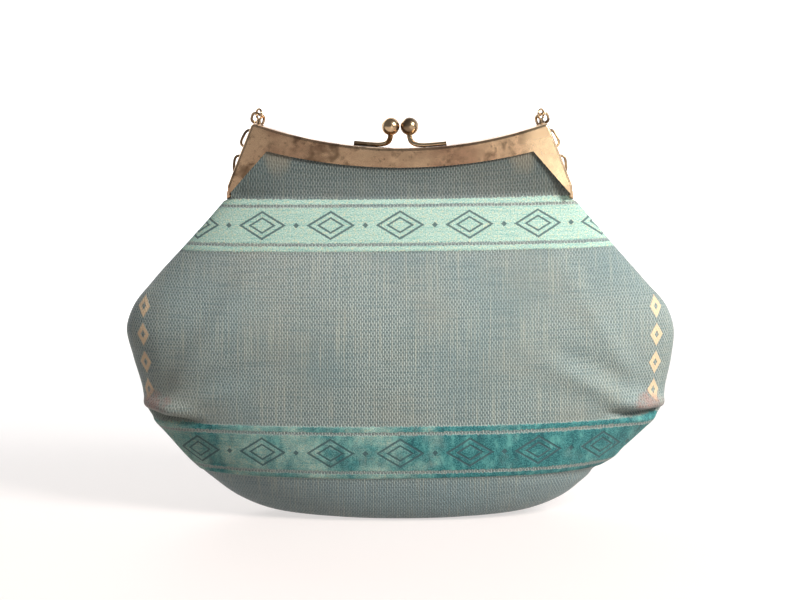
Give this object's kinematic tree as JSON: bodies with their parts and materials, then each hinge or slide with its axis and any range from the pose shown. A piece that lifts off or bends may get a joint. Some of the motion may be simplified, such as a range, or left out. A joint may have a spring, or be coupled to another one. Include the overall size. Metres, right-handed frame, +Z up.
{
  "type": "frame handbag",
  "caption": "Soft woven handbag with velvet bands, a hinged metal kiss-lock frame that opens at the top, and a chain handle on the frame's corners.",
  "frame": {"origin": "centre of the flat base, on the floor, under the plane where the two frame halves meet", "axes": "+X across the bag to the right as seen from the front, the front faces -Y, +Z up"},
  "size_m": [0.274, 0.0758, 0.2029],
  "materials": {
    "gilt_metal": "tarnished satin gilt",
    "chain_metal": "tarnished gilt",
    "cloth": "woven ground with raised velvet bands",
    "lining": "satin"
  },
  "bodies": {
    "bag": {"back_frame": "gilt_metal", "hinge_rivets": "gilt_metal", "back_clasp_arm": "gilt_metal", "back_clasp_ball": "gilt_metal", "chain_eyes": "gilt_metal", "front_panel": "cloth", "back_panel": "cloth", "front_lining": "lining", "back_lining": "lining"},
    "front_half": {"front_frame": "gilt_metal", "front_clasp_arm": "gilt_metal", "front_clasp_ball": "gilt_metal"},
    "chain_handle": {"chain_links": "chain_metal"}
  },
  "joints": [
    {"name": "frame_hinge", "type": "hinge", "parent": "bag", "child": "front_half", "pos_m": [0, 0, 0.16], "axis": [1, 0, 0], "range_deg": [0, 80], "deforming": ["front_panel", "front_lining"]},
    {"name": "chain_swing", "type": "hinge", "parent": "bag", "child": "chain_handle", "pos_m": [0, 0.005, 0.19993], "axis": [1, 0, 0], "range_deg": [0, 180]}
  ]
}
